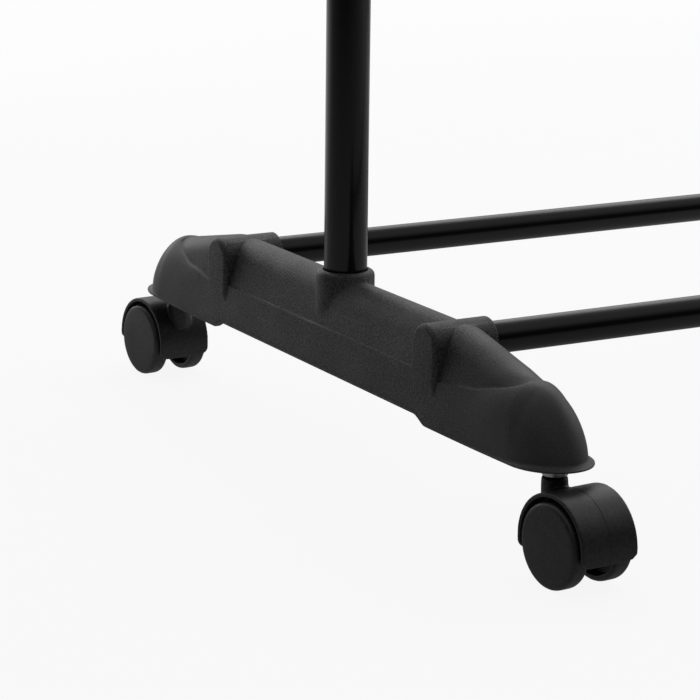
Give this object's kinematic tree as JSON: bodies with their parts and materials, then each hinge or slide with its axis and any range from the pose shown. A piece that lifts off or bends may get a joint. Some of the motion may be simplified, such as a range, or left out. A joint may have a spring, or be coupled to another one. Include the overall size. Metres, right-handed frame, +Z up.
{
  "type": "garment rail",
  "caption": "Height-adjustable garment rail: a hanging bar on telescoping uprights with twist locks, moulded feet joined by bottom rails, and twin-wheel swivel castors.",
  "frame": {"origin": "on the floor, midway between the uprights and midway between front and rear castors", "axes": "+X along the hanging rail to the right, +Y to the rear along the feet, +Z up"},
  "size_m": [0.8626, 0.4748, 1.4935],
  "materials": {
    "foot_plastic": "fine sparked grain, matt",
    "tube_paint": "black powder coat, satin gloss",
    "castor_plastic": "smooth satin",
    "bright_steel": "bright zinc plate",
    "bush_plastic": "smooth satin"
  },
  "bodies": {
    "base": {"foot_left": "foot_plastic", "foot_right": "foot_plastic", "bottom_rail_front": "tube_paint", "bottom_rail_rear": "tube_paint", "upright_left": "tube_paint", "upright_right": "tube_paint", "upright_plugs": "bright_steel", "upright_bolts": "bright_steel", "upright_washers": "bright_steel", "rail_screws": "bright_steel", "stem_front_left": "bright_steel", "stem_rear_left": "bright_steel", "stem_front_right": "bright_steel", "stem_rear_right": "bright_steel", "stem_rings": "bright_steel", "collet_left": "castor_plastic", "collet_right": "castor_plastic"},
    "upper_frame": {"riser_left": "tube_paint", "riser_right": "tube_paint", "riser_bush_left": "bush_plastic", "riser_bush_right": "bush_plastic", "elbow_left": "foot_plastic", "elbow_right": "foot_plastic", "hanging_rail": "tube_paint", "elbow_screws": "bright_steel"},
    "lock_left": {"lock_nut_left": "castor_plastic"},
    "lock_right": {"lock_nut_right": "castor_plastic"},
    "castor_front_left": {"hood_front_left": "castor_plastic", "axle_front_left": "bright_steel"},
    "wheel_front_left_outer": {"wheel_front_left_outer": "castor_plastic"},
    "wheel_front_left_inner": {"wheel_front_left_inner": "castor_plastic"},
    "castor_front_right": {"hood_front_right": "castor_plastic", "axle_front_right": "bright_steel"},
    "wheel_front_right_outer": {"wheel_front_right_outer": "castor_plastic"},
    "wheel_front_right_inner": {"wheel_front_right_inner": "castor_plastic"},
    "castor_rear_left": {"hood_rear_left": "castor_plastic", "axle_rear_left": "bright_steel"},
    "wheel_rear_left_outer": {"wheel_rear_left_outer": "castor_plastic"},
    "wheel_rear_left_inner": {"wheel_rear_left_inner": "castor_plastic"},
    "castor_rear_right": {"hood_rear_right": "castor_plastic", "axle_rear_right": "bright_steel"},
    "wheel_rear_right_outer": {"wheel_rear_right_outer": "castor_plastic"},
    "wheel_rear_right_inner": {"wheel_rear_right_inner": "castor_plastic"}
  },
  "joints": [
    {"name": "height_slide", "type": "slide", "parent": "base", "child": "upper_frame", "axis": [0, 0, 1], "range_m": [-0.51, 0.1]},
    {"name": "lock_left_twist", "type": "hinge", "parent": "base", "child": "lock_left", "pos_m": [-0.41, 0, 0.862], "axis": [0, 0, 1], "range_deg": [0, 180]},
    {"name": "lock_right_twist", "type": "hinge", "parent": "base", "child": "lock_right", "pos_m": [0.41, 0, 0.862], "axis": [0, 0, 1], "range_deg": [0, 180]},
    {"name": "swivel_front_left", "type": "hinge", "parent": "base", "child": "castor_front_left", "pos_m": [-0.41, -0.1948, 0.048], "axis": [0, 0, 1], "continuous": true},
    {"name": "roll_front_left_outer", "type": "hinge", "parent": "castor_front_left", "child": "wheel_front_left_outer", "pos_m": [-0.40878, -0.21226, 0.02], "axis": [0.9976, 0.0698, 0], "continuous": true},
    {"name": "roll_front_left_inner", "type": "hinge", "parent": "castor_front_left", "child": "wheel_front_left_inner", "pos_m": [-0.40878, -0.21226, 0.02], "axis": [0.9976, 0.0698, 0], "continuous": true},
    {"name": "swivel_front_right", "type": "hinge", "parent": "base", "child": "castor_front_right", "pos_m": [0.41, -0.1948, 0.048], "axis": [0, 0, 1], "continuous": true},
    {"name": "roll_front_right_outer", "type": "hinge", "parent": "castor_front_right", "child": "wheel_front_right_outer", "pos_m": [0.40878, -0.21226, 0.02], "axis": [0.9976, -0.0698, 0], "continuous": true},
    {"name": "roll_front_right_inner", "type": "hinge", "parent": "castor_front_right", "child": "wheel_front_right_inner", "pos_m": [0.40878, -0.21226, 0.02], "axis": [0.9976, -0.0698, 0], "continuous": true},
    {"name": "swivel_rear_left", "type": "hinge", "parent": "base", "child": "castor_rear_left", "pos_m": [-0.41, 0.1948, 0.048], "axis": [0, 0, 1], "continuous": true},
    {"name": "roll_rear_left_outer", "type": "hinge", "parent": "castor_rear_left", "child": "wheel_rear_left_outer", "pos_m": [-0.41122, 0.21226, 0.02], "axis": [0.9976, 0.0698, 0], "continuous": true},
    {"name": "roll_rear_left_inner", "type": "hinge", "parent": "castor_rear_left", "child": "wheel_rear_left_inner", "pos_m": [-0.41122, 0.21226, 0.02], "axis": [0.9976, 0.0698, 0], "continuous": true},
    {"name": "swivel_rear_right", "type": "hinge", "parent": "base", "child": "castor_rear_right", "pos_m": [0.41, 0.1948, 0.048], "axis": [0, 0, 1], "continuous": true},
    {"name": "roll_rear_right_outer", "type": "hinge", "parent": "castor_rear_right", "child": "wheel_rear_right_outer", "pos_m": [0.41122, 0.21226, 0.02], "axis": [0.9976, -0.0698, 0], "continuous": true},
    {"name": "roll_rear_right_inner", "type": "hinge", "parent": "castor_rear_right", "child": "wheel_rear_right_inner", "pos_m": [0.41122, 0.21226, 0.02], "axis": [0.9976, -0.0698, 0], "continuous": true}
  ]
}
